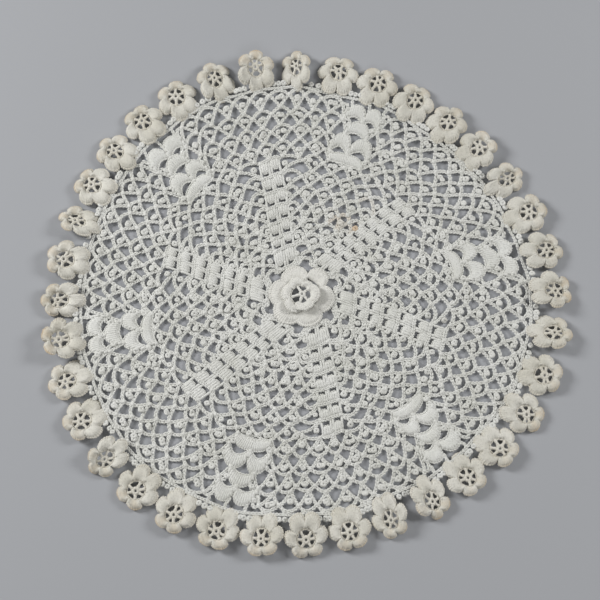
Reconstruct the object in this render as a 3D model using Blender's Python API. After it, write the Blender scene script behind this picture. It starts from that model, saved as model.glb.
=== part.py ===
"""Lace doily: a round mat of Irish crochet lying flat, in metres, +Z up.

A rose of two rounds of petals is in the middle, a net with solid arms grows out from it, and 36
small six-petalled flowers are joined round its edge. Every piece is a thin solid of the cloth's own
thickness. Stitches, picots and the net's small meshes are finer than these solids.
"""

import bpy
from collections import namedtuple
from math import atan2, cos, degrees, radians, sin
from mathutils import Matrix, Vector
from mathutils.geometry import delaunay_2d_cdt

# Driving dimensions, in metres and degrees. Bearings turn anticlockwise from +X round the rose.
MEAN_REACH = 0.1320
CLOTH = 0.0016
JOIN_GAP = 0.0003
SAME_POINT = 1e-7

# Cotton: the whiter rose, the net, the creamier edge.
ROSE_COLOUR = (0.72, 0.71, 0.65)
NET_COLOUR = (0.68, 0.69, 0.65)
EDGE_COLOUR = (0.72, 0.69, 0.58)
COTTON_ROUGHNESS = 0.9
SHARP_ANGLE = 40

# The edge is slightly three-cornered: it stands out at EDGE_CORNER and evenly round from there.
EDGE_CORNERS = 3
EDGE_CORNER = -10
EDGE_SWELL = 0.0030

# The net is flat up to FLAT_SHARE of its way out, and its rim lifts by up to RIM_LIFT in slow waves.
FLAT_SHARE = 0.84
FLAT_SUPPORTS = 36
RIM_LIFT = 0.0012
RIM_LIFT_LOBES = 7
RIM_INSET = 0.0205

# The rim from one flower to the next: share of the way, and how far it stands out there. Picots
# stand out midway between two flowers' seats.
RimPoint = namedtuple("RimPoint", "share out")
RIM_POINTS = (
    RimPoint(0.00, 0.0000),
    RimPoint(0.28, -0.0012),
    RimPoint(0.50, 0.0022),
    RimPoint(0.72, -0.0012),
)

# Sixths of the pattern. Each arm of solid blocks is a straight strip that passes the rose's centre
# at ARM_SKEW, so its bearing falls as it goes out.
SIXTHS = 6
ARM_BEARING = 39
ARM_SKEW = 0.0048

# The rose: a foundation ring, six cupped front petals and six larger back petals. A petal's tip is
# the flatter the smaller PETAL_BLUNTNESS is.
ROSE_PETALS = 6
PETAL_STEPS = 8
PETAL_BLUNTNESS = 0.6
BACK_PETAL_BEARING = 50
BACK_PETAL_TIP = 0.0162
BACK_PETAL_VALLEY = 0.0122
BACK_PETAL_INNER = 0.0062
FRONT_PETAL_BEARING = 44
FRONT_PETAL_TIP = 0.0096
FRONT_PETAL_VALLEY = 0.0080
FRONT_PETAL_INNER = 0.0034
FRONT_PETAL_CUP = 0.0016
EYE_RADIUS = 0.0030
EYE_HOLE = 0.0009
EYE_SIDES = 24
NET_START_AT_GAPS = 0.0200
NET_START_STEPS = 6

# The edge flowers: FIRST_FLOWER is the bearing of the first, and the others follow evenly.
FIRST_FLOWER = 1
PETALS = 6
FLOWER_RADIUS = 0.0107
PETAL_VALLEY_SHARE = 0.70
PETAL_SHOULDER_SHARE = 0.97
PETAL_SHOULDER_ANGLE = 17
PETAL_SPREAD_SHARE = 0.947
PETAL_RIM = 0.0013
PETAL_CROWN = 0.0023
FLOWER_MIDDLE = 0.0013
CROWN_SHARE = 0.6

# The net's largest gaps, the same in each sixth: distance from the rose, how many lie in a sixth,
# their pitch as a share of the sixth, whether they sit about an arm or about the middle between
# two arms, and their size across and outwards.
GapRow = namedtuple("GapRow", "reach count pitch middle across outwards")
GAP_ROWS = (
    GapRow(0.0610, 5, 0.135, 0.5, 0.0062, 0.0046),
    GapRow(0.0710, 5, 0.135, 0.5, 0.0076, 0.0042),
    GapRow(0.0925, 1, 1.000, 0.5, 0.0088, 0.0052),
    GapRow(0.0945, 8, 0.091, 0.0, 0.0050, 0.0052),
    GapRow(0.1025, 10, 0.083, 0.0, 0.0050, 0.0048),
)

# The edge flowers as they lie: turn of the petals from two-petals-outward, lean of the flower and
# which way its raised side faces (0 outward), and its width across as a share.
Flower = namedtuple("Flower", "turn lean lean_to width")
FLOWERS = (
    Flower(10, 12, 200, 0.96),
    Flower(15, 8, 150, 0.92),
    Flower(22, 6, 30, 0.98),
    Flower(30, 14, 100, 0.80),
    Flower(0, 8, 0, 0.95),
    Flower(28, 5, 300, 0.97),
    Flower(14, 6, 90, 0.98),
    Flower(6, 4, 0, 1.00),
    Flower(0, 3, 180, 1.00),
    Flower(30, 16, 270, 0.76),
    Flower(18, 14, 10, 0.92),
    Flower(30, 8, 60, 0.90),
    Flower(4, 3, 0, 1.00),
    Flower(0, 3, 200, 1.00),
    Flower(26, 5, 120, 0.95),
    Flower(0, 4, 180, 0.98),
    Flower(30, 15, 80, 0.78),
    Flower(8, 6, 340, 0.95),
    Flower(30, 12, 270, 0.84),
    Flower(4, 12, 0, 1.00),
    Flower(24, 6, 100, 0.95),
    Flower(8, 4, 30, 1.00),
    Flower(30, 14, 250, 0.82),
    Flower(0, 3, 180, 1.00),
    Flower(0, 4, 20, 0.98),
    Flower(0, 3, 0, 1.00),
    Flower(12, 8, 20, 0.96),
    Flower(4, 8, 180, 0.98),
    Flower(0, 4, 0, 0.98),
    Flower(4, 14, 90, 0.82),
    Flower(20, 12, 240, 0.86),
    Flower(0, 4, 340, 0.96),
    Flower(0, 3, 0, 1.00),
    Flower(2, 5, 160, 0.95),
    Flower(0, 4, 30, 1.00),
    Flower(30, 9, 290, 0.88),
)


def polar(distance, bearing):
    """The point at that distance and bearing, in degrees, from the rose's centre."""
    return Vector((distance * cos(radians(bearing)), distance * sin(radians(bearing))))


def reach(bearing):
    """How far the doily reaches at a bearing."""
    return MEAN_REACH + EDGE_SWELL * cos(radians(EDGE_CORNERS * (bearing - EDGE_CORNER)))


def rim(bearing):
    """How far the net reaches where a flower is joined."""
    return reach(bearing) - RIM_INSET


def flower_bearing(number):
    """The bearing of an edge flower, by number from 0, or of a place between two flowers."""
    return FIRST_FLOWER + 360 * number / len(FLOWERS)


def lift(point):
    """How high the net's underside is over the surface that it lies on."""
    bearing = atan2(point.y, point.x)
    share = point.length / rim(degrees(bearing))
    rise = max(0.0, (share - FLAT_SHARE) / (1 - FLAT_SHARE))
    return RIM_LIFT * rise * (1 + cos(RIM_LIFT_LOBES * bearing)) / 2


def arm_bearing(distance):
    """The bearing of the first arm's middle at a distance."""
    return ARM_BEARING + degrees(ARM_SKEW / distance)


def material(name, colour):
    """A plain cotton material."""
    made = bpy.data.materials.new(name)
    made.use_nodes = True
    shader = made.node_tree.nodes["Principled BSDF"]
    shader.inputs["Base Color"].default_value = (*colour, 1)
    shader.inputs["Roughness"].default_value = COTTON_ROUGHNESS
    shader.inputs["Metallic"].default_value = 0
    return made


def add_piece(name, points, faces, cotton, parent):
    """A smooth-shaded object from points and faces, with sharp cut edges."""
    mesh = bpy.data.meshes.new(name)
    mesh.from_pydata(points, [], faces)
    mesh.materials.append(cotton)
    mesh.shade_smooth()
    mesh.set_sharp_from_angle(angle=radians(SHARP_ANGLE))
    piece = bpy.data.objects.new(name, mesh)
    piece.parent = parent
    bpy.context.scene.collection.objects.link(piece)
    return piece


def petal_round(tip, valley, bearing, steps):
    """Outline of a round of rose petals: (bearing, distance) pairs, steps to each petal."""
    outline = []
    for step in range(ROSE_PETALS * steps):
        turn = 360 * step / (ROSE_PETALS * steps)
        swing = abs(cos(radians(turn * ROSE_PETALS / 2))) ** PETAL_BLUNTNESS
        outline.append((bearing + turn, valley + (tip - valley) * swing))
    return outline


def ring_solid(rings_below, rings_above):
    """Points and faces of a closed solid between stacked rings, each a list of points.

    The rings below run outwards and those above run inwards, so each joins the next, and the last
    joins the first.
    """
    rings = rings_below + rings_above
    size = len(rings[0])
    points = [point for ring in rings for point in ring]
    faces = []
    for number in range(len(rings)):
        following = (number + 1) % len(rings)
        for i in range(size):
            j = (i + 1) % size
            faces.append(
                (number * size + i, number * size + j, following * size + j, following * size + i)
            )
    return points, faces


def ring_at(outline, share, inner, height):
    """A ring of points that share of the way from the inner circle to the outline."""
    ring = []
    for bearing, distance in outline:
        flat = polar(inner + (distance - inner) * share, bearing)
        ring.append((flat.x, flat.y, height))
    return ring


def rose_petals(name, outline, inner, base, rise, cotton, parent):
    """A round of rose petals: a ring with a lobed rim, which rises by rise to its edge."""
    shares = (0.0, 0.5, 1.0)
    below = [ring_at(outline, s, inner, base + rise * s * s) for s in shares]
    above = [ring_at(outline, s, inner, base + CLOTH + rise * s * s) for s in reversed(shares)]
    points, faces = ring_solid(below, above)
    return add_piece(name, points, faces, cotton, parent)


def add_rose(cotton, parent):
    """The rose's three pieces, stacked with a thin gap between."""
    back = petal_round(BACK_PETAL_TIP, BACK_PETAL_VALLEY, BACK_PETAL_BEARING, PETAL_STEPS)
    front = petal_round(FRONT_PETAL_TIP, FRONT_PETAL_VALLEY, FRONT_PETAL_BEARING, PETAL_STEPS)
    rose_petals("rose_back_petals", back, BACK_PETAL_INNER, 0, 0, cotton, parent)
    front_base = CLOTH + JOIN_GAP
    rose_petals(
        "rose_front_petals", front, FRONT_PETAL_INNER, front_base, FRONT_PETAL_CUP, cotton, parent
    )
    eye = [(360 * step / EYE_SIDES, EYE_RADIUS) for step in range(EYE_SIDES)]
    below = [ring_at(eye, share, EYE_HOLE, front_base) for share in (0, 1)]
    above = [ring_at(eye, share, EYE_HOLE, front_base + CLOTH) for share in (1, 0)]
    points, faces = ring_solid(below, above)
    add_piece("rose_eye", points, faces, cotton, parent)


def net_rim():
    """The net's outer outline: a seat for each flower, and picots standing out between two."""
    outline = []
    for number in range(len(FLOWERS)):
        for rim_point in RIM_POINTS:
            bearing = flower_bearing(number + rim_point.share)
            outline.append(polar(rim(bearing) + rim_point.out, bearing))
    return outline


def net_start():
    """The net's inner outline: it meets the back petals' tips and leaves a gap between petals."""
    at_tips = BACK_PETAL_TIP + JOIN_GAP
    start = petal_round(at_tips, NET_START_AT_GAPS, BACK_PETAL_BEARING, NET_START_STEPS)
    return [polar(distance, bearing) for bearing, distance in start]


def gap_outline(distance, bearing, across, outwards):
    """A diamond-shaped gap of the net."""
    centre = polar(distance, bearing)
    along = centre.normalized() * outwards / 2
    side = Vector((-along.y, along.x)).normalized() * across / 2
    return [centre + along, centre + side, centre - along, centre - side]


def gap_outlines():
    """Every large gap of the net."""
    outlines = []
    for row in GAP_ROWS:
        for sixth in range(SIXTHS):
            for number in range(row.count):
                share = row.middle + row.pitch * (number - (row.count - 1) / 2)
                bearing = arm_bearing(row.reach) + 360 / SIXTHS * (sixth + share)
                distance = row.reach * reach(bearing) / MEAN_REACH
                outlines.append(gap_outline(distance, bearing, row.across, row.outwards))
    return outlines


def flat_support():
    """Inner points, where the net's rim starts to lift."""
    bearings = [360 * step / FLAT_SUPPORTS for step in range(FLAT_SUPPORTS)]
    return [polar(FLAT_SHARE * rim(bearing), bearing) for bearing in bearings]


def net_sheet(outlines):
    """The points and triangles of a flat sheet that has every outline among its edges."""
    points, edges = [], []
    for outline in outlines:
        first, size = len(points), len(outline)
        points += outline
        edges += [(first + i, first + (i + 1) % size) for i in range(size)]
    found = delaunay_2d_cdt(points + flat_support(), edges, [], 0, SAME_POINT)
    return found[0], found[2]


def inside(point, outline):
    """Whether a point lies in an outline."""
    within = False
    for start, end in zip(outline, outline[1:] + outline[:1]):
        if (start.y > point.y) != (end.y > point.y):
            crossing = start.x + (point.y - start.y) / (end.y - start.y) * (end.x - start.x)
            within ^= point.x < crossing
    return within


def add_net(cotton, parent):
    """The net: a thin sheet with its outline, its start round the rose and its largest gaps."""
    outer, holes = net_rim(), [net_start()] + gap_outlines()
    points, triangles = net_sheet([outer] + holes)
    kept = []
    for triangle in triangles:
        middle = sum((points[i] for i in triangle), Vector((0, 0))) / 3
        if inside(middle, outer) and not any(inside(middle, hole) for hole in holes):
            kept.append(tuple(triangle))
    size = len(points)
    below = [(p.x, p.y, lift(p)) for p in points]
    above = [(x, y, z + CLOTH) for x, y, z in below]
    faces = [tuple(size + i for i in t) for t in kept] + [t[::-1] for t in kept]
    directed = {(t[i], t[(i + 1) % 3]) for t in kept for i in range(3)}
    for start, end in sorted(directed):
        if (end, start) not in directed:
            faces.append((start, end, size + end, size + start))
    return add_piece("ground", below + above, faces, cotton, parent)


def flower_centre(number, radius):
    """Where a flower's middle lies, with its inner petals on the net's rim."""
    bearing = flower_bearing(number)
    return polar(rim(bearing) + JOIN_GAP + PETAL_SPREAD_SHARE * radius, bearing)


def flower_radius(number):
    """A flower's radius, so that its side petals just clear the nearer neighbour's."""
    before, here, after = (
        flower_centre(other, FLOWER_RADIUS) for other in (number - 1, number, number + 1)
    )
    room = min((before - here).length, (after - here).length)
    return min(FLOWER_RADIUS, (room - JOIN_GAP) / 2 / PETAL_SPREAD_SHARE)


def flower_outline(radius, turn, width):
    """A flower's outline, three points to a petal, outward along +X."""
    outline = []
    pattern = (
        (-180 / PETALS, PETAL_VALLEY_SHARE),
        (-PETAL_SHOULDER_ANGLE, PETAL_SHOULDER_SHARE),
        (PETAL_SHOULDER_ANGLE, PETAL_SHOULDER_SHARE),
    )
    for petal in range(PETALS):
        middle = 360 / PETALS * (petal + 0.5) + turn
        for angle, share in pattern:
            point = polar(radius * share, middle + angle)
            outline.append(Vector((point.x, point.y * width)))
    return outline


def add_flower(number, cotton, parent):
    """One edge flower: flat below, crowned petals above, leaning as it lies."""
    flower = FLOWERS[number]
    radius = flower_radius(number)
    outline = flower_outline(radius, flower.turn, flower.width)
    size = len(outline)
    points = [(0, 0, 0), (0, 0, FLOWER_MIDDLE)]
    points += [(p.x, p.y, 0) for p in outline]
    points += [(p.x, p.y, PETAL_RIM) for p in outline]
    points += [(p.x * CROWN_SHARE, p.y * CROWN_SHARE, PETAL_CROWN) for p in outline]
    faces = []
    for i in range(size):
        j = (i + 1) % size
        foot, edge, crown = 2, 2 + size, 2 + 2 * size
        faces.append((0, foot + j, foot + i))
        faces.append((foot + i, foot + j, edge + j, edge + i))
        faces.append((edge + i, edge + j, crown + j, crown + i))
        faces.append((1, crown + i, crown + j))
    tilt = Matrix.Rotation(radians(flower.lean), 3, polar(1, flower.lean_to - 90).to_3d())
    points = [tilt @ Vector(p) for p in points]
    low = min(p.z for p in points)
    points = [(p.x, p.y, p.z - low) for p in points]
    piece = add_piece(f"flower_{number + 1:02d}", points, faces, cotton, parent)
    centre = flower_centre(number, radius)
    piece.location = (centre.x, centre.y, 0)
    piece.rotation_euler = (0, 0, radians(flower_bearing(number)))
    return piece


def centre_on_origin(parent):
    """Moves the whole doily so that its box stands on the origin."""
    bpy.context.view_layer.update()
    corners = []
    for piece in parent.children:
        corners += [piece.matrix_world @ v.co for v in piece.data.vertices]
    low_x, high_x = min(c.x for c in corners), max(c.x for c in corners)
    low_y, high_y = min(c.y for c in corners), max(c.y for c in corners)
    parent.location = (-(low_x + high_x) / 2, -(low_y + high_y) / 2, 0)
    bpy.context.view_layer.update()


def main():
    for thing in list(bpy.data.objects):
        bpy.data.objects.remove(thing)
    doily = bpy.data.objects.new("doily", None)
    bpy.context.scene.collection.objects.link(doily)
    add_rose(material("rose_cotton", ROSE_COLOUR), doily)
    add_net(material("net_cotton", NET_COLOUR), doily)
    edge_cotton = material("edge_cotton", EDGE_COLOUR)
    for number in range(len(FLOWERS)):
        add_flower(number, edge_cotton, doily)
    centre_on_origin(doily)


main()
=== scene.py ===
"""The looks of the lace doily: Irish crochet in cotton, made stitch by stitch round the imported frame.

Plan positions are in millimetres from the rose's centre. Across the net a place is (turn, reach):
turn counts arms of solid blocks, 0 to 6 round the doily, and reach is the distance from the rose's
centre on a doily of even outline. lay() turns such places into points on the real, uneven doily.
"""

from collections import namedtuple

import bpy
import numpy as np
from mathutils import Matrix, Vector


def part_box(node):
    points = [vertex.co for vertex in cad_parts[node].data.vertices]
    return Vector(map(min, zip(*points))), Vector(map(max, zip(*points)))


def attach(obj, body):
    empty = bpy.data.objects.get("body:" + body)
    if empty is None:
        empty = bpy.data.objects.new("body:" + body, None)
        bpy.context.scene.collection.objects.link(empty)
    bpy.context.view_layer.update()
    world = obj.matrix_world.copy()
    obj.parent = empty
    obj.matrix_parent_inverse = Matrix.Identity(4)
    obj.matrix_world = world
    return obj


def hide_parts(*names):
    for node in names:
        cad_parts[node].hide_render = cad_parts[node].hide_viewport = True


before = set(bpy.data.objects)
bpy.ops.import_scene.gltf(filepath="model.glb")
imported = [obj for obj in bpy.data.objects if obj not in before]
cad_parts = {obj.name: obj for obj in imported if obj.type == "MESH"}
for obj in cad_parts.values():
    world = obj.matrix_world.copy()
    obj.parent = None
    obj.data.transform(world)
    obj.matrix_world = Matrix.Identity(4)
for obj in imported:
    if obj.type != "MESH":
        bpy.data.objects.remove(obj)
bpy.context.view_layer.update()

MM = 0.001
UP = np.array((0.0, 0.0, 1.0))

# The rose's centre, on the surface that the doily lies on.
eye_low, eye_high = (np.array(corner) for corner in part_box("rose_eye"))
ROSE = (eye_low + eye_high) / 2 * (1, 1, 0)

# Crochet chain: length of a stitch, its width and thickness, how its stitches roll (in radians) and
# vary in width, and how far to each side of a stitch its direction is measured. It is wider about
# the middle, from MIDDLE_TO inwards.
STITCH = 1.75
CHAIN_WIDTH = 2.1
MIDDLE_CHAIN_WIDTH = 2.3
MIDDLE_TO = 75
MIDDLE_OVER = 20
CHAIN_THICK = 1.35
CHAIN_ROLL = 0.16
CHAIN_VARIES = (0.93, 1.07)
CHAIN_PROBE = 0.2

# Tall stitches: how far they run past their ends, and how flat they are. A knot's size and flatness.
POST_OVERLAP = 1.06
POST_FLATNESS = 0.78
KNOT_SIZE = 2.2
KNOT_FLATNESS = 0.8

# The doily's outline: mean reach, and how it stands out at three corners.
MEAN_REACH = 132.0
EDGE_CORNERS = 3
EDGE_CORNER = -10
EDGE_SWELL = 3.0

# The net is round up to ROUND_TO and follows the outline in full from UNEVEN_FROM outwards.
ROUND_TO = 25.0
UNEVEN_FROM = 75.0

# The net's rim lifts off the surface in slow waves.
RIM_LIFT = 0.9
RIM_LIFT_FROM = 95
RIM_LIFT_OVER = 17
RIM_LIFT_LOBES = 7

# The arms of solid blocks, one to each sixth: the bearing of the first, far out, and how far each
# passes from the centre. Two columns stand ARM_COLUMN to each side, a step apart. Each block has
# posts over a slot, longer thin ones at its sides, and a rim that reaches BLOCK_HALF to each side.
SIXTHS = 6
TURNS_PER_RADIAN = SIXTHS / (2 * np.pi)
ARM_BEARING = 39
ARM_SKEW = 4.8
ARM_COLUMN = 3.0
POST_PITCH = 1.2
BLOCK_POSTS = 5
BLOCK_POST = 1.0
BLOCK_SIDE_POST = 0.72
BLOCK_STEP = 0.35
BLOCK_STEP_OVER = 1.5
BLOCK_HALF = 5.6
BLOCK_RIM_POINTS = 9
SLOT_RISE = 2.8

# Each round of picot arches and the plain round on it: how far the picot arches' tops reach beside
# an arm and midway between two arms, how many there are, their pitch as a share of the way from arm
# to arm, and whether they lie about an arm (0) or about the middle (0.5).
Round = namedtuple("Round", "beside midway count pitch about arm")
ROUNDS = (
    Round(24.4, 24.4, 1, 0.30, 0.5, 27.2),
    Round(30.2, 30.4, 2, 0.28, 0.5, 33.6),
    Round(37.5, 38.2, 3, 0.23, 0.5, 41.0),
    Round(45.8, 47.0, 5, 0.14, 0.5, 49.2),
    Round(54.0, 56.0, 5, 0.14, 0.5, 57.3),
    Round(62.2, 64.8, 5, 0.14, 0.5, 65.3),
    Round(70.4, 73.0, 5, 0.14, 0.5, 73.4),
    Round(79.2, 79.7, 8, 0.100, 0.0, 0),
    Round(88.7, 88.8, 8, 0.098, 0.0, 0),
    Round(98.1, 98.2, 10, 0.090, 0.0, 0),
    Round(107.4, 107.4, 10, 0.083, 0.0, 0),
)
ARCH_POINTS = 15
ARCH_VARIES = 0.3

# The first round follows the rose's petals: its reach at their tips and between them, and where it
# leaves a tip and over what share of a sixth.
ROSE_REACH = 17.1
FIRST_TOPS = 20.4
TIP_SHARE = 0.31
TIP_OVER = 0.1

# A plain arch rises by PLAIN_RISE, or by less where it is narrower than PLAIN_FULL.
PLAIN_RISE = 3.0
PLAIN_FULL = 8
PLAIN_VARIES = 0.2
SOLID_OVERLAP = 0.005

# The rim chain: its reach, and its parts. It is tied to the last arches at every RIM_TIE of a sixth.
RIM_REACH = 112.0
RIM_PARTS = 24
RIM_TIE = 0.083
RIM_CHAIN_WIDTH = 1.8

# A solid part of a round, a block or a shell, as the arches beside it see it.
Solid = namedtuple("Solid", "start end reach")

# The clusters of shells, midway between arms: the round that each shell is worked in (from 0), its
# middle and half width as shares of the way from arm to arm, the reach of the arch that carries it
# and of its rim, and how many posts it has.
Shell = namedtuple("Shell", "round middle half arch rim posts")
SHELLS = (
    Shell(7, 0.500, 0.104, 76.2, 81.6, 20),
    Shell(8, 0.441, 0.057, 85.2, 91.2, 12),
    Shell(8, 0.559, 0.057, 85.2, 91.2, 12),
    Shell(9, 0.500, 0.060, 93.4, 99.4, 12),
    Shell(10, 0.452, 0.0465, 102.0, 108.2, 11),
    Shell(10, 0.548, 0.0465, 102.0, 108.2, 11),
)

# The rose's petals: bearing, size, how far out of its usual place, and how its tip is lifted.
Leaf = namedtuple("Leaf", "bearing size out lift")
ROSE_BACK = (
    Leaf(50, 0.74, 2.3, 0.4),
    Leaf(109, 0.97, 0.2, -0.5),
    Leaf(170, 1.0, 0.0, 0.1),
    Leaf(228, 1.05, 0.2, 0.2),
    Leaf(290, 1.0, 0.0, 0.2),
    Leaf(353, 1.0, 0.0, 0.3),
)
ROSE_FRONT = (
    Leaf(6, 1.12, -1.3, 1.7),
    Leaf(58, 0.72, -1.3, 0.6),
    Leaf(112, 1.0, -0.3, -0.6),
    Leaf(169, 1.02, -0.2, -0.4),
    Leaf(231, 1.02, -0.1, 0.3),
    Leaf(288, 1.14, -1.9, 1.7),
)

# Where the net's cotton has yellowed.
Stain = namedtuple("Stain", "bearing reach size depth")
STAINS = (
    Stain(66, 48, 2.6, 1.2),
    Stain(61, 47, 2.6, 1.2),
    Stain(53, 45, 2.8, 1.2),
    Stain(55, 63, 2.4, 0.7),
    Stain(348, 70, 2.4, 0.5),
)

CHAIN_STAIN = 0.4

# A picot: its ring and tube, how far it sinks into the chain, and how its size and height vary.
PICOT_RING = 0.84
PICOT_TUBE = 0.80
PICOT_SINK = 0.55
PICOT_SIZES = (0.88, 1.12)
PICOT_RISES = (0.1, 0.5)
PICOT_FLATNESS = 0.9

# An edge flower's reach, how far its middle is pulled outward, and how far its inner petals reach
# over the net's rim.
FLOWER_REACH = 10.7
FLOWER_SHIFT = 1.9
FLOWER_TUCK = 1.2
FLOWER_PETALS = 6
FLOWER_AGE = 0.15

# How each edge flower lies, in order from +X: turn of its petals from two-outward, lean and which
# way its raised side faces (0 outward), width across as a share, how far it folds along its
# middle, and how yellow its tips are.
Flower = namedtuple("Flower", "turn lean lean_to width fold yellow")
FLOWERS = (
    Flower(10, 12, 200, 0.92, 0.9, 1.0),
    Flower(15, 8, 150, 0.92, 0.3, 0.5),
    Flower(22, 6, 30, 0.98, 0.2, 0.5),
    Flower(30, 14, 100, 0.80, 0.6, 0.6),
    Flower(0, 8, 0, 0.95, 0.3, 0.6),
    Flower(28, 5, 300, 0.97, 0.1, 0.4),
    Flower(14, 6, 90, 0.98, 0.1, 0.5),
    Flower(6, 4, 0, 1.00, 0.0, 0.5),
    Flower(0, 3, 180, 1.00, 0.0, 0.4),
    Flower(30, 16, 270, 0.76, 0.7, 0.6),
    Flower(18, 14, 10, 0.92, 0.9, 0.9),
    Flower(30, 8, 60, 0.90, 0.2, 0.5),
    Flower(4, 3, 0, 1.00, 0.0, 0.5),
    Flower(0, 3, 200, 1.00, 0.0, 0.5),
    Flower(26, 5, 120, 0.95, 0.0, 0.6),
    Flower(0, 4, 180, 0.98, 0.1, 0.7),
    Flower(30, 15, 80, 0.78, 0.8, 0.7),
    Flower(8, 6, 340, 0.95, 0.2, 0.7),
    Flower(30, 12, 270, 0.84, 0.4, 0.8),
    Flower(4, 12, 0, 1.00, 0.8, 0.9),
    Flower(24, 6, 100, 0.95, 0.2, 0.6),
    Flower(8, 4, 30, 1.00, 0.1, 0.5),
    Flower(30, 14, 250, 0.82, 0.7, 0.6),
    Flower(0, 3, 180, 1.00, 0.0, 0.7),
    Flower(0, 4, 20, 0.98, 0.0, 0.6),
    Flower(0, 3, 0, 1.00, 0.0, 0.6),
    Flower(12, 8, 20, 0.96, 0.3, 0.6),
    Flower(4, 8, 180, 0.98, 0.2, 0.4),
    Flower(0, 4, 0, 0.98, 0.0, 0.5),
    Flower(4, 14, 90, 0.82, 0.5, 0.5),
    Flower(20, 12, 240, 0.86, 0.4, 0.8),
    Flower(0, 4, 340, 0.96, 0.1, 0.4),
    Flower(0, 3, 0, 1.00, 0.0, 0.4),
    Flower(2, 5, 160, 0.95, 0.1, 0.8),
    Flower(0, 4, 30, 1.00, 0.0, 0.5),
    Flower(30, 9, 290, 0.88, 0.2, 0.5),
)

rng = np.random.default_rng(20)


# ---------------------------------------------------------------- shapes that are laid many times


def closed_tube(spine, radii, sides):
    """Points and triangles of a tube along X with a point at each end, for use as a template."""
    spine = np.array(spine, float)
    points, faces = [spine[0]], []
    for (x, y, z), radius in zip(spine[1:-1], radii):
        for turn in 2 * np.pi * np.arange(sides) / sides:
            points.append((x, y + radius * np.cos(turn), z + radius * np.sin(turn)))
    points.append(spine[-1])
    last = len(points) - 1
    for side in range(sides):
        onward = (side + 1) % sides
        faces.append((0, 1 + onward, 1 + side))
        for ring in range(len(radii) - 1):
            here, there = 1 + ring * sides, 1 + (ring + 1) * sides
            faces.append((here + side, here + onward, there + onward))
            faces.append((here + side, there + onward, there + side))
        foot = 1 + (len(radii) - 1) * sides
        faces.append((last, foot + side, foot + onward))
    return np.array(points), np.array(faces)


def both(first, second):
    """Two templates as one."""
    return np.vstack((first[0], second[0])), np.vstack((first[1], second[1] + len(first[0])))


# One leg of a chain stitch, in shares of the stitch: along, to the side and up.
LEG_SPINE = (
    (-0.80, 0.10, 0.06),
    (-0.50, 0.14, 0.14),
    (0.0, 0.24, 0.12),
    (0.42, 0.28, -0.04),
    (0.70, 0.22, -0.22),
)
LEG_RADII = (0.20, 0.26, 0.23)
LEG_SIDES = 4

# A tall stitch swells where the thread wraps round it, and a knot swells once.
POST_SPINE = (-0.5, -0.44, -0.22, 0.0, 0.22, 0.44, 0.5)
POST_RADII = (0.74, 1.06, 0.76, 1.10, 0.78)
POST_SIDES = 5
KNOT_SPINE = (-0.5, -0.32, 0.05, 0.36, 0.5)
KNOT_RADII = (0.36, 0.5, 0.34)
KNOT_SIDES = 6


def chain_stitch():
    """One V of a crochet chain along X, a stitch long and one wide: two legs that spread onward."""
    legs = []
    for side in (-1, 1):
        spine = [(along, side * beside, up) for along, beside, up in LEG_SPINE]
        legs.append(closed_tube(spine, LEG_RADII, LEG_SIDES))
    return both(*legs)


def straight_stitch(spine, radii, sides):
    """A stitch with a straight spine along X, from -0.5 to 0.5."""
    return closed_tube([(along, 0, 0) for along in spine], radii, sides)


def ring_shape(around, sides, ring, tube, swellings, depth):
    """A small closed ring in the plane, with swellings round it where its stitches are."""
    points, faces = [], []
    for i in range(around):
        turn = 2 * np.pi * i / around
        thick = tube * (1 + depth * np.cos(swellings * turn))
        for j in range(sides):
            roll = 2 * np.pi * j / sides
            out = ring + thick * np.cos(roll)
            points.append((out * np.cos(turn), out * np.sin(turn), thick * np.sin(roll)))
            a, b = i * sides + j, i * sides + (j + 1) % sides
            c, d = ((i + 1) % around) * sides + (j + 1) % sides, ((i + 1) % around) * sides + j
            faces += [(a, d, c), (a, c, b)]
    return np.array(points), np.array(faces)


CHAIN_STITCH = chain_stitch()
POST = straight_stitch(POST_SPINE, POST_RADII, POST_SIDES)
KNOT = straight_stitch(KNOT_SPINE, KNOT_RADII, KNOT_SIDES)
PICOT = ring_shape(around=12, sides=6, ring=PICOT_RING, tube=PICOT_TUBE, swellings=4, depth=0.13)


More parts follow.
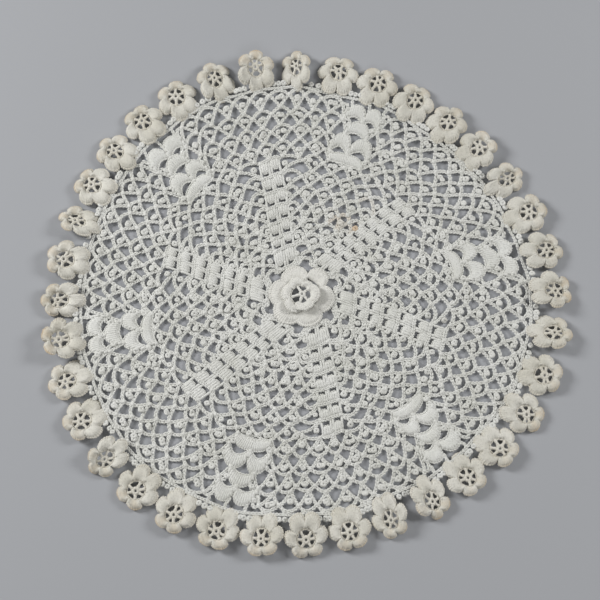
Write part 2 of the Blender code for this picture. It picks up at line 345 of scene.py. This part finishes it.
class Yarn:
    """Stitches gathered as arrays of points and triangles, to be made into one mesh."""

    def __init__(self):
        self.points, self.faces, self.ages, self.size = [], [], [], 0

    def add(self, copies, faces, age):
        """Adds copies of a template: an array of copies, points and X, Y, Z."""
        count, size = copies.shape[:2]
        starts = self.size + size * np.arange(count)
        self.points.append(copies.reshape(-1, 3))
        self.faces.append((faces[None] + starts[:, None, None]).reshape(-1, 3))
        ages = np.broadcast_to(np.asarray(age, float).reshape(-1, 1), (count, size))
        self.ages.append(ages.reshape(-1))
        self.size += count * size

    def lay(self, template, centres, along, side, up, age=0.0, crown=0.0, taper=1.0):
        """Lays a template at each centre, along, beside and over by those vectors."""
        shape, faces = template
        width = (1 + (taper - 1) * (0.5 - shape[:, 0]))[None, :, None]
        copies = centres[:, None] + shape[None, :, 0:1] * along[:, None]
        copies = copies + width * shape[None, :, 1:2] * side[:, None]
        copies = copies + width * shape[None, :, 2:3] * up[:, None]
        copies = copies + UP * crown * (1 - 4 * shape[None, :, 0:1] ** 2)
        self.add(copies, faces, age)

    def make(self, name, cotton, place=None):
        """The gathered stitches as one smooth object; place is a 4 by 4 matrix in millimetres."""
        points = np.vstack(self.points)
        if place is not None:
            points = points @ np.array(place.to_3x3()).T + np.array(place.translation)
        points[:, 2] = np.maximum(points[:, 2], 0)
        faces = np.vstack(self.faces)
        mesh = bpy.data.meshes.new(name)
        mesh.vertices.add(len(points))
        mesh.vertices.foreach_set("co", (points * MM + ROSE).reshape(-1))
        mesh.loops.add(faces.size)
        mesh.loops.foreach_set("vertex_index", faces.reshape(-1))
        mesh.polygons.add(len(faces))
        mesh.polygons.foreach_set("loop_start", np.arange(0, faces.size, 3))
        mesh.update(calc_edges=True)
        mesh.shade_smooth()
        age = mesh.attributes.new("age", "FLOAT", "POINT")
        age.data.foreach_set("value", np.concatenate(self.ages))
        mesh.materials.append(cotton)
        piece = bpy.data.objects.new(name, mesh)
        bpy.context.scene.collection.objects.link(piece)
        return piece


def unit(vectors):
    """Vectors at length 1."""
    return vectors / np.maximum(np.linalg.norm(vectors, axis=-1, keepdims=True), 1e-9)


def along_path(path, places):
    """Points at those distances along a path of points."""
    run = np.concatenate(([0], np.cumsum(np.linalg.norm(np.diff(path, axis=0), axis=1))))
    return np.stack([np.interp(places, run, path[:, axis]) for axis in range(3)], axis=1)


def path_length(path):
    """How long a path of points is."""
    return np.linalg.norm(np.diff(path, axis=0), axis=1).sum()


def chain(yarn, path, width=CHAIN_WIDTH, age=0.0, stitch=STITCH):
    """A crochet chain along a path of points."""
    length = path_length(path)
    count = max(2, round(length / stitch))
    places = (np.arange(count) + 0.5) * length / count
    centres = along_path(path, places)
    before, after = along_path(path, places - CHAIN_PROBE), along_path(path, places + CHAIN_PROBE)
    ahead = unit(after - before)
    roll = rng.normal(0, CHAIN_ROLL, (count, 1))
    side = unit(np.cross(UP, ahead))
    up = unit(np.cross(ahead, side))
    side, up = side * np.cos(roll) + up * np.sin(roll), up * np.cos(roll) - side * np.sin(roll)
    width = width * rng.uniform(*CHAIN_VARIES, (count, 1))
    yarn.lay(CHAIN_STITCH, centres, ahead * length / count, side * width, up * CHAIN_THICK, age)


def posts(yarn, feet, heads, radius, crown=0.0, taper=1.0, age=0.0):
    """Tall stitches side by side, from feet to heads, crowned in between."""
    along = heads - feet
    side = unit(np.cross(UP, along))
    up = unit(np.cross(along, side))
    middles, over = (feet + heads) / 2, up * radius * POST_FLATNESS
    yarn.lay(POST, middles, along * POST_OVERLAP, side * radius, over, age, crown, taper)


def knots(yarn, centres, along, size, age=0.0):
    """Round stitches where one thing is worked into another."""
    along = unit(along)
    side = unit(np.cross(UP, along))
    up = np.cross(along, side)
    yarn.lay(KNOT, centres, along * size, side * size, up * size * KNOT_FLATNESS, age)


# ------------------------------------------------------------------------------ the lie of the net


def reach_at(bearing):
    """How far the doily reaches at a bearing."""
    return MEAN_REACH + EDGE_SWELL * np.cos(np.radians(EDGE_CORNERS * (bearing - EDGE_CORNER)))


def ease(share):
    """A soft step from 0 to 1."""
    share = np.clip(share, 0, 1)
    return share * share * (3 - 2 * share)


def bearing_at(turn, reach):
    """The bearing in degrees of places in the net."""
    return ARM_BEARING + 360 / SIXTHS * turn + np.degrees(ARM_SKEW / reach)


def turn_at(bearing, reach):
    """The turn of a bearing, at a reach."""
    return (bearing - ARM_BEARING - np.degrees(ARM_SKEW / reach)) / (360 / SIXTHS) % SIXTHS


def rim_lift(x, y, reach):
    """How high the net lies off the surface near its rim."""
    bearing = np.arctan2(y, x)
    rise = np.clip((reach - RIM_LIFT_FROM) / RIM_LIFT_OVER, 0, 1)
    return RIM_LIFT * rise * (0.5 + 0.5 * np.cos(RIM_LIFT_LOBES * bearing))


def drift(x, y):
    """How far the hand work strays in X and Y: soft waves of unrelated lengths."""
    in_x = 0.5 * np.sin(y / 8.1 + 1) + 0.4 * np.sin(x / 5.3 + y / 11) + 0.3 * np.sin((x - y) / 3.9)
    in_y = 0.5 * np.sin(x / 7.3 + 2) + 0.4 * np.sin(y / 5.9 - x / 13) + 0.3 * np.sin((x + y) / 4.3)
    return in_x, in_y


def lay(turn, reach, height=0.0):
    """Points in millimetres of places in the net."""
    turn, reach = np.asarray(turn, float), np.asarray(reach, float)
    bearing = bearing_at(turn, reach)
    uneven = ease((reach - ROUND_TO) / (UNEVEN_FROM - ROUND_TO))
    out = reach * (1 + uneven * (reach_at(bearing) / MEAN_REACH - 1))
    x, y = out * np.cos(np.radians(bearing)), out * np.sin(np.radians(bearing))
    drift_x, drift_y = drift(x, y)
    z = height + rim_lift(x, y, reach) + CHAIN_THICK / 2 + 0 * x
    return np.stack((x + uneven * drift_x, y + uneven * drift_y, z), axis=-1)


def arch_places(start, top, end, power):
    """Places along an arch between two feet; start, top and end are (turn, reach)."""
    u = np.linspace(-1, 1, ARCH_POINTS)
    turn = top[0] + np.where(u < 0, (top[0] - start[0]) * u, (end[0] - top[0]) * u)
    foot = np.where(u < 0, start[1], end[1])
    return turn, foot + (top[1] - foot) * (1 - np.abs(u) ** power), u


def profile_of(places):
    """A round's outer line as a function that gives its reach at a turn."""
    turn = np.concatenate([turns for turns, _ in places]) % SIXTHS
    reach = np.concatenate([reaches for _, reaches in places])
    order = np.argsort(turn)
    return lambda at: np.interp(np.asarray(at) % SIXTHS, turn[order], reach[order], period=SIXTHS)


def sector_of(turn):
    """Which of the net's six joined meshes a place belongs to."""
    return int(np.floor(turn % SIXTHS))


def picot(yarn, path, share):
    """A picot ring standing outward on a leg of an arch."""
    place = along_path(path, np.array([share * path_length(path)]))
    ahead = along_path(path, np.array([share * path_length(path) + 0.3])) - place
    outward = unit(np.stack((ahead[:, 1], -ahead[:, 0], 0 * ahead[:, 0]), axis=-1))
    size = rng.uniform(*PICOT_SIZES)
    offset = CHAIN_WIDTH / 2 + (PICOT_RING + PICOT_TUBE) * size - PICOT_SINK
    centre = place + outward * offset + UP * rng.uniform(*PICOT_RISES)
    spin, tip = rng.uniform(0, 2 * np.pi), rng.normal(0, 0.3)
    side = np.array([(np.cos(spin), np.sin(spin), 0.0)])
    up = unit(UP + tip * np.cross(UP, side) + rng.normal(0, 0.15) * side)
    side = unit(np.cross(up, np.cross(side, up)))
    along = np.cross(side, up)
    side = side * size * rng.uniform(0.88, 1.0)
    yarn.lay(PICOT, centre, along * size, side, up * size * PICOT_FLATNESS, stain(centre))


def stain(spots):
    """How yellowed points of the net are."""
    bearing = np.degrees(np.arctan2(spots[:, 1], spots[:, 0]))
    distance = np.hypot(spots[:, 0], spots[:, 1])
    faint = 0 * distance
    for mark in STAINS:
        across = np.radians((bearing - mark.bearing + 180) % 360 - 180) * mark.reach
        faint += mark.depth * np.exp(-(across**2 + (distance - mark.reach) ** 2) / mark.size**2)
    return faint


class Net:
    """The net, worked round by round from the rose to the rim."""

    def __init__(self):
        self.sectors = [Yarn() for _ in range(SIXTHS)]
        self.picots = [Yarn() for _ in range(SIXTHS)]
        lines = []
        for arm in range(SIXTHS):
            turn = arm + np.linspace(0, 1, 25)
            from_tip = 0.5 - abs(turn - arm - 0.5)
            reach = ROSE_REACH + (FIRST_TOPS - ROSE_REACH) * ease((from_tip - TIP_SHARE) / TIP_OVER)
            chain(self.sectors[arm], lay(turn, reach, 0.3))
            lines.append((turn, reach))
        self.line = profile_of(lines)

    def yarn(self, turn):
        """The mesh that a place in the net belongs to."""
        return self.sectors[sector_of(turn)]

    def arch(self, start, top, end, power, foot_height):
        """A chain arch between two feet, with a knot at its first foot."""
        turn, reach, u = arch_places(start, top, end, power)
        path = lay(turn, reach, foot_height * np.abs(u) ** 4 + 0.25 * (1 - u * u))
        middling = ease((MIDDLE_TO - top[1]) / MIDDLE_OVER)
        width = CHAIN_WIDTH + (MIDDLE_CHAIN_WIDTH - CHAIN_WIDTH) * middling
        faint = float(stain(path[[ARCH_POINTS // 2]])[0])
        chain(self.yarn(top[0]), path, width, age=CHAIN_STAIN * faint)
        knots(self.yarn(top[0]), path[:1], path[1:2] - path[:1], KNOT_SIZE)
        return turn, reach, path

    def picot_arch(self, start, top, end, power=1.45):
        """A steep arch with a picot standing outward on each leg."""
        turn, reach, path = self.arch(start, top, end, power, 0.55)
        for share in (rng.uniform(0.25, 0.33), rng.uniform(0.67, 0.75)):
            picot(self.picots[sector_of(top[0])], path, share)
        return turn, reach

    def block(self, arm, row, base):
        """One row of an arm: two columns of posts over small slots, and a rim along their heads."""
        middle = BLOCK_POSTS // 2
        for side in (-1, 1):
            inward = BLOCK_STEP * side
            yarn = self.yarn(arm + side * 0.01)
            spread = (np.arange(BLOCK_POSTS) - middle) * POST_PITCH
            across = side * ARM_COLUMN + spread + rng.normal(0, 0.05, BLOCK_POSTS)
            outer = abs(np.arange(BLOCK_POSTS) - middle) == middle
            low = base + np.where(outer, 0.4, SLOT_RISE) - inward + rng.normal(0, 0.12)
            high = row.arm - 0.6 - inward
            feet = lay(arm + across * TURNS_PER_RADIAN / low, low, 0.1)
            heads = lay(arm + across * TURNS_PER_RADIAN / high, high + 0 * across, 0.1)
            thick = np.where(outer, BLOCK_SIDE_POST, BLOCK_POST)[:, None]
            posts(yarn, feet, heads, thick, crown=0.5)
            chain(yarn, feet[1:-1], width=1.3, stitch=1.1)
        across = np.linspace(-BLOCK_HALF, BLOCK_HALF, BLOCK_RIM_POINTS)
        reach = row.arm - BLOCK_STEP * np.tanh(across / BLOCK_STEP_OVER)
        turn = arm + across * TURNS_PER_RADIAN / reach
        for half in (turn <= arm + 1e-9, turn >= arm - 1e-9):
            path = lay(turn[half], reach[half], 0.55)
            chain(self.yarn(turn[half][0] + 0.001), path, width=2.2, stitch=1.4)
        return [(turn, reach)]

    def shell(self, arm, shell, base):
        """A solid shell of posts on an arch of chain."""
        middle, half = arm + shell.middle, shell.half
        start, end = middle - half, middle + half
        low = (base(start) + 0.3, base(end) + 0.3)
        turn, reach, _ = self.arch((start, low[0]), (middle, shell.arch), (end, low[1]), 2.0, 0.5)
        u = np.linspace(-0.93, 0.93, shell.posts)
        arch = np.linspace(-1, 1, ARCH_POINTS)
        feet_turn, feet_reach = np.interp(u, arch, turn), np.interp(u, arch, reach)
        head_turn = middle + half * 1.06 * np.sign(u) * np.abs(u) ** 0.92
        low_side = np.where(u < 0, low[0], low[1])
        head_reach = low_side + 2.2 + (shell.rim - low_side - 2.2) * (1 - np.abs(u) ** 2.6)
        yarn = self.yarn(middle)
        feet, heads = lay(feet_turn, feet_reach, 0.2), lay(head_turn, head_reach, 0.2)
        posts(yarn, feet, heads, 0.98, crown=0.6, taper=0.85)
        chain(yarn, heads + UP * 0.15, width=1.7, stitch=1.2)
        return head_turn, head_reach

    def plain_arch(self, start, end, top_reach):
        """A low arch between two places."""
        middle = ((start[0] + end[0]) / 2, top_reach)
        turn, reach, _ = self.arch(start, middle, end, 2.0, 0.35)
        return turn, reach

    def tops(self, row):
        """Where the tops of a round's picot arches are, in turns."""
        shares = row.about + row.pitch * (np.arange(row.count) - (row.count - 1) / 2)
        return sorted(float((arm + share) % SIXTHS) for arm in range(SIXTHS) for share in shares)

    def solid_parts(self, number, row):
        """Works a round's blocks and shells: their outer lines, and what the arches see of them."""
        base, lines, solids = self.line, [], []
        if row.arm:
            width = BLOCK_HALF * TURNS_PER_RADIAN / row.arm
            for arm in range(SIXTHS):
                lines += self.block(arm, row, float(base(arm)))
                solids.append(Solid(arm - width, arm + width, row.arm - 0.7))
        for shell in SHELLS:
            if shell.round != number:
                continue
            for arm in range(SIXTHS):
                lines.append(self.shell(arm, shell, base))
                middle, reach = arm + shell.middle, (shell.rim + shell.arch) / 2
                solids.append(Solid(middle - shell.half, middle + shell.half, reach))
        return lines, solids

    def foot(self, turn, stop, way):
        """Where an arch's foot stands: midway to the next arch, or at the edge of a solid part."""
        beside, solid = stop
        if solid is None:
            return turn + way * ((beside - turn) * way % SIXTHS) / 2
        edge = solid.start if way > 0 else solid.end
        return turn + way * ((edge - turn) * way % SIXTHS)

    def picot_arches(self, row, stops):
        """Works a round's picot arches: every arch's top and every solid part, in order."""
        base, made = self.line, []
        for number, (turn, solid) in enumerate(stops):
            if solid is not None:
                made.append(solid)
                continue
            start = self.foot(turn, stops[number - 1], -1)
            end = self.foot(turn, stops[(number + 1) % len(stops)], 1)
            bulge = np.sin(np.pi * (turn % 1)) ** 1.5
            middle = row.beside + (row.midway - row.beside) * bulge
            reach = middle + rng.normal(0, ARCH_VARIES)
            top = (turn + rng.normal(0, ARCH_VARIES) / row.beside, reach)
            self.picot_arch((start, float(base(start)) + 0.2), top, (end, float(base(end)) + 0.2))
            made.append(top)
        return made

    def plain_arches(self, made):
        """Works the plain round over the tops and solid parts: its arches' lines."""
        lines = []
        for number, here in enumerate(made):
            there = made[(number + 1) % len(made)]
            leaves_solid, meets_solid = isinstance(here, Solid), isinstance(there, Solid)
            if leaves_solid and meets_solid:
                continue
            start = (here.end - SOLID_OVERLAP, here.reach) if leaves_solid else here
            end = (there.start + SOLID_OVERLAP, there.reach) if meets_solid else there
            if end[0] < start[0]:
                end = (end[0] + SIXTHS, end[1])
            across = (end[0] - start[0]) / TURNS_PER_RADIAN * start[1]
            rise = PLAIN_RISE * min(1.0, across / PLAIN_FULL)
            top = (start[1] + end[1]) / 2 + rise
            if leaves_solid or meets_solid:
                top = max(start[1], end[1]) + rise * 0.6
            lines.append(self.plain_arch(start, end, top + rng.normal(0, PLAIN_VARIES)))
        return lines

    def work(self, number, row):
        """Works one round of picot arches, with its blocks and shells, and the plain round on it."""
        lines, solids = self.solid_parts(number, row)
        stops = [(turn, None) for turn in self.tops(row)]
        stops += [((solid.start + solid.end) / 2 % SIXTHS, solid) for solid in solids]
        stops.sort(key=lambda stop: stop[0])
        lines += self.plain_arches(self.picot_arches(row, stops))
        self.line = profile_of(lines)

    def work_last(self, flowers):
        """The rim: an even chain over the last arches' tops, and picots between the flowers."""
        for step in range(RIM_PARTS):
            turn = np.linspace(step, step + 1, 13) * SIXTHS / RIM_PARTS
            reach = np.maximum(RIM_REACH - 0.6, self.line(turn) + 1.3)
            path = lay(turn, (reach + RIM_REACH) / 2, 0.35)
            chain(self.yarn(turn[6]), path, width=RIM_CHAIN_WIDTH, stitch=1.6)
        for turn in np.arange(0, SIXTHS, RIM_TIE):
            base = float(self.line(turn))
            if base < RIM_REACH - 2:
                path = lay(turn + rng.normal(0, 0.008, 3), np.linspace(base, RIM_REACH, 3), 0.3)
                chain(self.yarn(turn), path, width=RIM_CHAIN_WIDTH)
        for number, bearing in enumerate(flowers):
            gap = (flowers[(number + 1) % len(flowers)] - bearing) % 360
            for share in (0.36, 0.5, 0.64):
                turn = float(turn_at(bearing + gap * (share + rng.normal(0, 0.02)), RIM_REACH))
                path = lay(turn + np.linspace(-0.03, 0.03, 7), RIM_REACH + 0 * np.arange(7), 0.3)
                picot(self.picots[sector_of(turn)], path, 0.5)


# ------------------------------------------------------------------------------ flowers and rose


def turned(points, degrees):
    """Points turned about Z."""
    c, s = np.cos(np.radians(degrees)), np.sin(np.radians(degrees))
    x, y = points[:, 0], points[:, 1]
    return np.stack((c * x - s * y, s * x + c * y, points[:, 2]), axis=1)


# A petal: its posts' feet stand at foot over spread degrees to each side. Its rim is an oval about
# middle, across and along by those halves. Then the number of posts, their radius, the heights of
# their feet and of the rim's tip, and how far they crown.
Petal = namedtuple("Petal", "foot spread middle across along posts radius low high crown")
FLOWER_PETAL = Petal(4.7, 28, 7.4, 3.4, 2.85, 15, 0.90, 1.0, 0.5, 1.4)
ROSE_BACK_PETAL = Petal(7.6, 27, 10.6, 6.4, 5.2, 25, 1.05, 0.85, 1.0, 0.6)
ROSE_FRONT_PETAL = Petal(5.9, 25, 6.9, 3.75, 2.7, 16, 0.95, 2.4, 3.2, 1.0)


def petal(yarn, kind, bearing, age=0.0, tip_age=0.0, size=1.0, lift=0.0):
    """A petal: posts that fan out from a ring of chain, with their heads round the petal's rim."""
    swing = np.linspace(-1, 1, kind.posts)
    foot_turn = np.radians(kind.spread * swing)
    foot = kind.foot * np.stack((np.cos(foot_turn), np.sin(foot_turn), 0 * swing), axis=1)
    head_turn = np.radians(125 * swing)
    x = kind.middle + size * kind.along * np.cos(head_turn)
    y = size * kind.across * np.sin(head_turn)
    outward = 0.5 + 0.5 * np.cos(head_turn)
    z = (kind.high - kind.low + lift) * outward
    heads = np.stack((x, y, z), axis=1) + rng.normal(0, 0.07, (kind.posts, 3)) * (1, 1, 0.6)
    feet = turned(foot, bearing) + UP * kind.low
    heads = turned(heads, bearing) + UP * kind.low
    ages = age + tip_age * outward**3
    posts(yarn, feet, heads, kind.radius, kind.crown, taper=0.8, age=0.5 * ages)
    ahead = np.gradient(heads, axis=0)
    side = unit(np.cross(UP, ahead))
    up = np.cross(unit(ahead), side)
    yarn.lay(KNOT, heads, ahead * 1.5, side * kind.radius * 1.9, up * kind.radius * 1.9, ages)


def spoked_middle(yarn, spokes, hub, ring, height, thick, centre=(0, 0), age=0.0):
    """A tiny ring, its spokes and the ring of chain that they carry."""
    centre = np.array((*centre, height))
    axes = [np.eye(3)[[i]] for i in range(3)]
    yarn.lay(ring_shape(12, 6, hub, 0.6 * hub, 6, 0.1), centre[None], *axes, age)
    turns = 2 * np.pi * (np.arange(spokes) + 0.5) / spokes + rng.normal(0, 0.12, spokes)
    rays = np.stack((np.cos(turns), np.sin(turns), 0 * turns), axis=1)
    posts(yarn, centre + hub * rays, rays * ring + UP * (height - 0.25), thick, 0.1, age=age)
    around = np.linspace(0, 2 * np.pi, 25)
    path = ring * np.stack((np.cos(around), np.sin(around), 0 * around), axis=1)
    chain(yarn, path + UP * (height - 0.2), width=1.45, age=age)


def middle_of(node):
    """The middle of a CAD node's box, in millimetres from the rose's centre."""
    low, high = (np.array(corner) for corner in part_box(node))
    return ((low + high) / 2 - ROSE) / MM


def bearing_of(place):
    """The bearing in degrees of a place."""
    return np.degrees(np.arctan2(place[1], place[0])) % 360


def flower_node(number):
    """The name of an edge flower's CAD node."""
    return f"flower_{number + 1:02d}"


def crochet_flower(kind):
    """An edge flower lying flat, outward along +X: its middle, its petals and then its unevenness."""
    yarn = Yarn()
    spoked_middle(yarn, 6, 1.35, 4.7, 1.3, 0.86, age=FLOWER_AGE)
    for step in range(FLOWER_PETALS):
        side = 360 / FLOWER_PETALS * (step + 0.5) + kind.turn
        outward = np.cos(np.radians(side))
        size = 1 - 0.05 * outward + rng.normal(0, 0.03)
        lift = rng.normal(0, 0.35)
        tip_age = kind.yellow * max(0, outward) ** 0.7
        petal(yarn, FLOWER_PETAL, side + rng.normal(0, 2), FLOWER_AGE, tip_age, size, lift)
    for points in yarn.points:
        inward = 1 - np.clip(np.hypot(points[:, 0], points[:, 1]) / FLOWER_REACH, 0, 1) ** 2
        points[:, 0] += FLOWER_SHIFT * inward - FLOWER_TUCK * ease(-points[:, 0] / FLOWER_REACH)
        points[:, 1] *= kind.width
        points[:, 2] += kind.fold * 0.10 * (np.abs(points[:, 1]) ** 1.5 - 6)
    return yarn


def make_flower(number, cotton):
    """One edge flower, in the place of its CAD node and lying as that does."""
    kind, node = FLOWERS[number], flower_node(number)
    centre = middle_of(node)
    yarn = crochet_flower(kind)
    hinge = np.radians(kind.lean_to - 90)
    tilt = Matrix.Rotation(np.radians(kind.lean), 3, Vector((np.cos(hinge), np.sin(hinge), 0)))
    place = (Matrix.Rotation(np.radians(bearing_of(centre)), 3, "Z") @ tilt).to_4x4()
    raised = np.vstack(yarn.points) @ np.array(place.to_3x3()).T
    place.translation = (centre[0], centre[1], -raised[:, 2].min() + 0.02)
    return yarn.make(f"edge_{node}", cotton, place), node


def rose_round(name, kind, leaves, cotton):
    """One round of the rose's petals."""
    yarn = Yarn()
    for leaf in leaves:
        moved = kind._replace(foot=kind.foot + leaf.out, middle=kind.middle + leaf.out)
        petal(yarn, moved, leaf.bearing, size=leaf.size, lift=leaf.lift)
    return yarn.make(name, cotton)


def make_rose(cotton):
    """The rose's three pieces."""
    back = rose_round("rose_back", ROSE_BACK_PETAL, ROSE_BACK, cotton)
    front = rose_round("rose_front", ROSE_FRONT_PETAL, ROSE_FRONT, cotton)
    middle = Yarn()
    spoked_middle(middle, 5, 1.15, 5.6, 2.7, 0.8, centre=(0.3, 0.7))
    return [
        (back, "rose_back_petals"),
        (front, "rose_front_petals"),
        (middle.make("rose_middle", cotton), "rose_eye"),
    ]


# ------------------------------------------------------------------------------------- materials


def cotton_material(name, pale, deep, yellow):
    """Matt crochet cotton: slow blotches of colour, fine dark specks at random that are painted shade for
    the shade between stitches, fine twisted relief.
    """
    made = bpy.data.materials.new(name)
    made.use_nodes = True
    nodes, links = made.node_tree.nodes, made.node_tree.links
    shader = nodes["Principled BSDF"]
    where = nodes.new("ShaderNodeTexCoord").outputs["Object"]

    def noise(scale, detail, rough=0.5):
        node = nodes.new("ShaderNodeTexNoise")
        node.inputs["Scale"].default_value = scale
        node.inputs["Detail"].default_value = detail
        node.inputs["Roughness"].default_value = rough
        links.new(where, node.inputs["Vector"])
        return node.outputs["Fac"]

    def ramp(value, low, high, first, last):
        node = nodes.new("ShaderNodeMapRange")
        node.inputs["From Min"].default_value = low
        node.inputs["From Max"].default_value = high
        node.inputs["To Min"].default_value = first
        node.inputs["To Max"].default_value = last
        links.new(value, node.inputs["Value"])
        return node.outputs["Result"]

    def mix(factor, first, last, mode="MIX"):
        node = nodes.new("ShaderNodeMix")
        node.data_type = "RGBA"
        node.blend_type = mode
        links.new(factor, node.inputs["Factor"])
        for socket, colour in (("A", first), ("B", last)):
            target = [i for i in node.inputs if i.name == socket and i.type == "RGBA"][0]
            if isinstance(colour, tuple):
                target.default_value = (*colour, 1)
            else:
                links.new(colour, target)
        return [o for o in node.outputs if o.type == "RGBA"][0]

    blotch = ramp(noise(70, 3), 0.35, 0.68, 0, 1)
    base = mix(blotch, pale, deep)
    # Fine dark specks at random: painted shade, standing in for the shade between stitches and threads.
    shade_speck = ramp(noise(1500, 2), 0.52, 0.78, 0, 0.55)
    base = mix(shade_speck, base, tuple(0.55 * c for c in deep))
    age = nodes.new("ShaderNodeAttribute")
    age.attribute_name = "age"
    base = mix(ramp(age.outputs["Fac"], 0, 1.3, 0, 0.9), base, yellow)
    links.new(base, shader.inputs["Base Color"])
    links.new(ramp(noise(900, 2), 0.3, 0.7, 0.72, 0.95), shader.inputs["Roughness"])
    shader.inputs["Sheen Weight"].default_value = 0.25
    shader.inputs["Sheen Roughness"].default_value = 0.5
    shader.inputs["Specular IOR Level"].default_value = 0.15
    bump = nodes.new("ShaderNodeBump")
    bump.inputs["Strength"].default_value = 0.7
    bump.inputs["Distance"].default_value = 0.00025
    links.new(noise(1700, 3, 0.6), bump.inputs["Height"])
    links.new(bump.outputs["Normal"], shader.inputs["Normal"])
    return made


def plain_material(name, colour, roughness):
    """A material of one colour."""
    made = bpy.data.materials.new(name)
    made.use_nodes = True
    shader = made.node_tree.nodes["Principled BSDF"]
    shader.inputs["Base Color"].default_value = (*colour, 1)
    shader.inputs["Roughness"].default_value = roughness
    return made


# --------------------------------------------------------------------------------- stage and view


# The stage, in metres and degrees.
FLOOR_HALF = 3.0
FLOOR_DROP = 0.0001
FLOOR_COLOUR = (0.40, 0.41, 0.43)
VIEW_HEIGHT = 72.5
VIEW_DISTANCE = 0.85
VIEW_ANGLE = 20.0
VIEW_SHIFT = (-0.00075, -0.00157, 0)
WORLD_STRENGTH = 0.16


def add_floor():
    """A plain pale floor, just under the doily."""
    mesh = bpy.data.meshes.new("floor")
    corners = ((-1, -1), (1, -1), (1, 1), (-1, 1))
    mesh.from_pydata([(x * FLOOR_HALF, y * FLOOR_HALF, -FLOOR_DROP) for x, y in corners], [], [(0, 1, 2, 3)])
    mesh.materials.append(plain_material("floor", FLOOR_COLOUR, 0.9))
    floor = bpy.data.objects.new("floor", mesh)
    bpy.context.scene.collection.objects.link(floor)


def add_light(name, place, size, power):
    """A round soft lamp that faces the doily."""
    light = bpy.data.lights.new(name, "AREA")
    light.shape = "DISK"
    light.size = size
    light.energy = power
    lamp = bpy.data.objects.new(name, light)
    lamp.location = place
    lamp.rotation_euler = (Vector((0, 0, 0)) - Vector(place)).to_track_quat("-Z", "Y").to_euler()
    bpy.context.scene.collection.objects.link(lamp)


def add_camera():
    """The photograph's view, from -Y and above."""
    camera = bpy.data.cameras.new("camera")
    camera.sensor_width = 36
    camera.angle = np.radians(VIEW_ANGLE)
    seat = bpy.data.objects.new("camera", camera)
    aim = Vector(ROSE) + Vector(VIEW_SHIFT)
    tilt = np.radians(VIEW_HEIGHT)
    seat.location = aim + VIEW_DISTANCE * Vector((0, -np.cos(tilt), np.sin(tilt)))
    seat.rotation_euler = (aim - seat.location).to_track_quat("-Z", "Y").to_euler()
    bpy.context.scene.collection.objects.link(seat)
    bpy.context.scene.camera = seat


def add_world():
    """Faint white light from all round."""
    world = bpy.data.worlds.new("studio")
    world.use_nodes = True
    background = world.node_tree.nodes["Background"]
    background.inputs["Color"].default_value = (1, 1, 1, 1)
    background.inputs["Strength"].default_value = WORLD_STRENGTH
    bpy.context.scene.world = world


# ------------------------------------------------------------------------------------------- main

net_cotton = cotton_material("net_cotton", (0.80, 0.80, 0.765), (0.71, 0.71, 0.66), (0.62, 0.46, 0.30))
rose_cotton = cotton_material("rose_cotton", (0.82, 0.81, 0.76), (0.74, 0.73, 0.68), (0.66, 0.52, 0.34))
edge_cotton = cotton_material("edge_cotton", (0.76, 0.75, 0.69), (0.66, 0.645, 0.57), (0.62, 0.45, 0.25))

pieces = make_rose(rose_cotton)
pieces += [make_flower(number, edge_cotton) for number in range(len(FLOWERS))]
roses = [piece for piece, _ in pieces[:3]]
flowers = [piece for piece, _ in pieces[3:]]
flower_bearings = [bearing_of(middle_of(flower_node(number))) for number in range(len(FLOWERS))]

net = Net()
for number, row in enumerate(ROUNDS):
    net.work(number, row)
net.work_last(sorted(flower_bearings))

for piece, node in pieces:
    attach(piece, "root")
    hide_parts(node)

for number in range(SIXTHS):
    sector = net.sectors[number].make(f"net_sixth_{number + 1}", net_cotton)
    picots = net.picots[number].make(f"net_picots_{number + 1}", net_cotton)
    for piece in (sector, picots):
        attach(piece, "root")
        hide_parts("ground")
    sewn_on = [picots] + (roses if number == 0 else [])
    for bearing, flower in zip(flower_bearings, flowers):
        if sector_of(turn_at(bearing, RIM_REACH)) == number:
            sewn_on.append(flower)

add_floor()
add_world()
add_light("left", (-1.0, 0.35, 0.62), 0.4, 11.5)
add_light("right", (1.0, 0.25, 0.62), 0.4, 7)
add_light("front", (0.1, -0.9, 0.9), 0.5, 2)
add_camera()
bpy.context.scene.view_settings.view_transform = "Standard"
